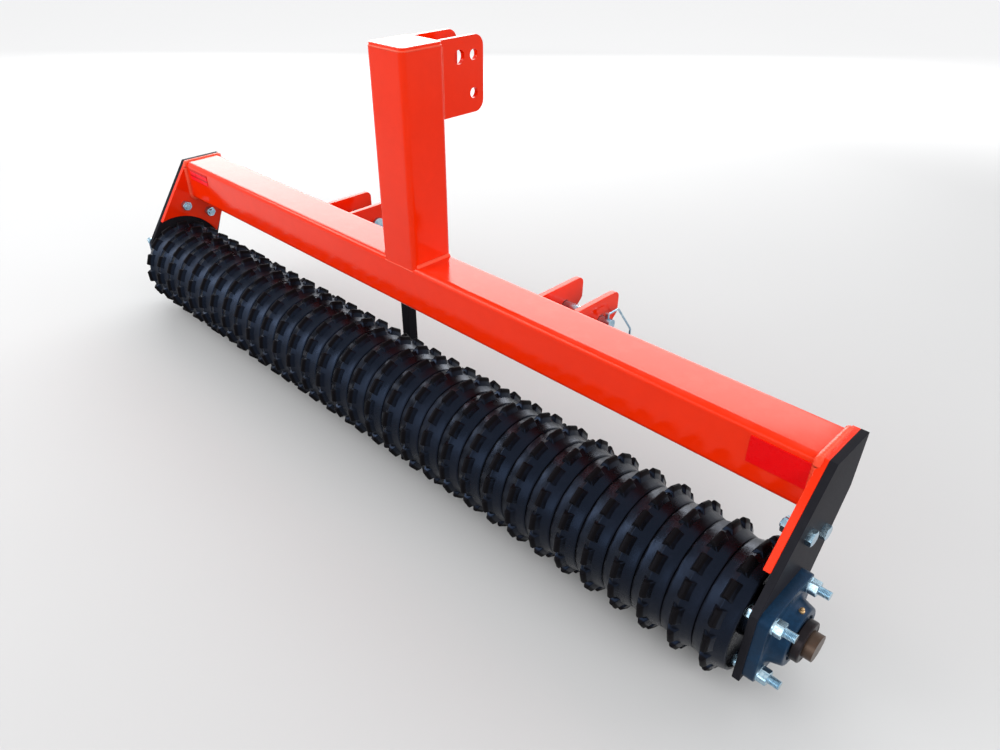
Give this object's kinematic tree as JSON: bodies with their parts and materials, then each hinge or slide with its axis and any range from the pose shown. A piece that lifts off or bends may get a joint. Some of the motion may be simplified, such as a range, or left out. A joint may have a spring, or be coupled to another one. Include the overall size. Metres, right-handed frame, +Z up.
{
  "type": "three-point cultipacker",
  "caption": "Square toolbar with a hitch mast carrying a roller of ridged, lugged wheels between two bearing plates, parked on its roller and a stand leg.",
  "frame": {"origin": "on the ground, under the middle of the whole implement's box", "axes": "+X along the roller, +Y forwards to the hitch, +Z up"},
  "size_m": [2.016, 0.4455, 0.8016],
  "materials": {
    "orange_paint": "gloss paint",
    "black_paint": "satin paint",
    "roller_black": "gloss paint on cast iron",
    "bearing_blue_black": "satin paint on cast iron",
    "zinc": "zinc plated",
    "bare_steel": "oiled steel",
    "brass": "plain",
    "red_reflector": "reflective sheet"
  },
  "bodies": {
    "frame": {"bearing_bolts_left": "zinc", "bearing_bolts_right": "zinc", "clamp_screw": "zinc", "end_plate_left": "orange_paint", "end_plate_right": "orange_paint", "flange_bearing_left": "bearing_blue_black", "flange_bearing_right": "bearing_blue_black", "grease_nipple_left": "brass", "grease_nipple_right": "brass", "hitch_ear_left_inner": "orange_paint", "hitch_ear_left_outer": "orange_paint", "hitch_ear_right_inner": "orange_paint", "hitch_ear_right_outer": "orange_paint", "hitch_pin_left": "bare_steel", "hitch_pin_right": "bare_steel", "mast_cap": "orange_paint", "mast_tube": "orange_paint", "plate_bolts_left": "zinc", "plate_bolts_right": "zinc", "reflector_left": "red_reflector", "reflector_right": "red_reflector", "side_plate_left": "black_paint", "side_plate_right": "black_paint", "stand_sleeve": "orange_paint", "toolbar_tube": "orange_paint", "top_link_plate_left": "orange_paint", "top_link_plate_right": "orange_paint", "wire_lock_left": "zinc", "wire_lock_right": "zinc"},
    "roller": {"locking_collar_left": "bare_steel", "locking_collar_right": "bare_steel", "roller_axle": "bare_steel", "roller_wheels_1": "roller_black", "roller_wheels_2": "roller_black", "roller_wheels_3": "roller_black", "roller_wheels_4": "roller_black", "roller_wheels_5": "roller_black", "roller_wheels_6": "roller_black", "roller_wheels_7": "roller_black", "roller_wheels_8": "roller_black"},
    "stand": {"stand_foot": "black_paint", "stand_leg": "black_paint"}
  },
  "joints": [
    {"name": "roller_spin", "type": "hinge", "parent": "frame", "child": "roller", "pos_m": [0, -0.10218, 0.12065], "axis": [1, 0, 0], "continuous": true},
    {"name": "stand_slide", "type": "slide", "parent": "frame", "child": "stand", "axis": [0, 0, 1], "range_m": [0, 0.19]}
  ]
}
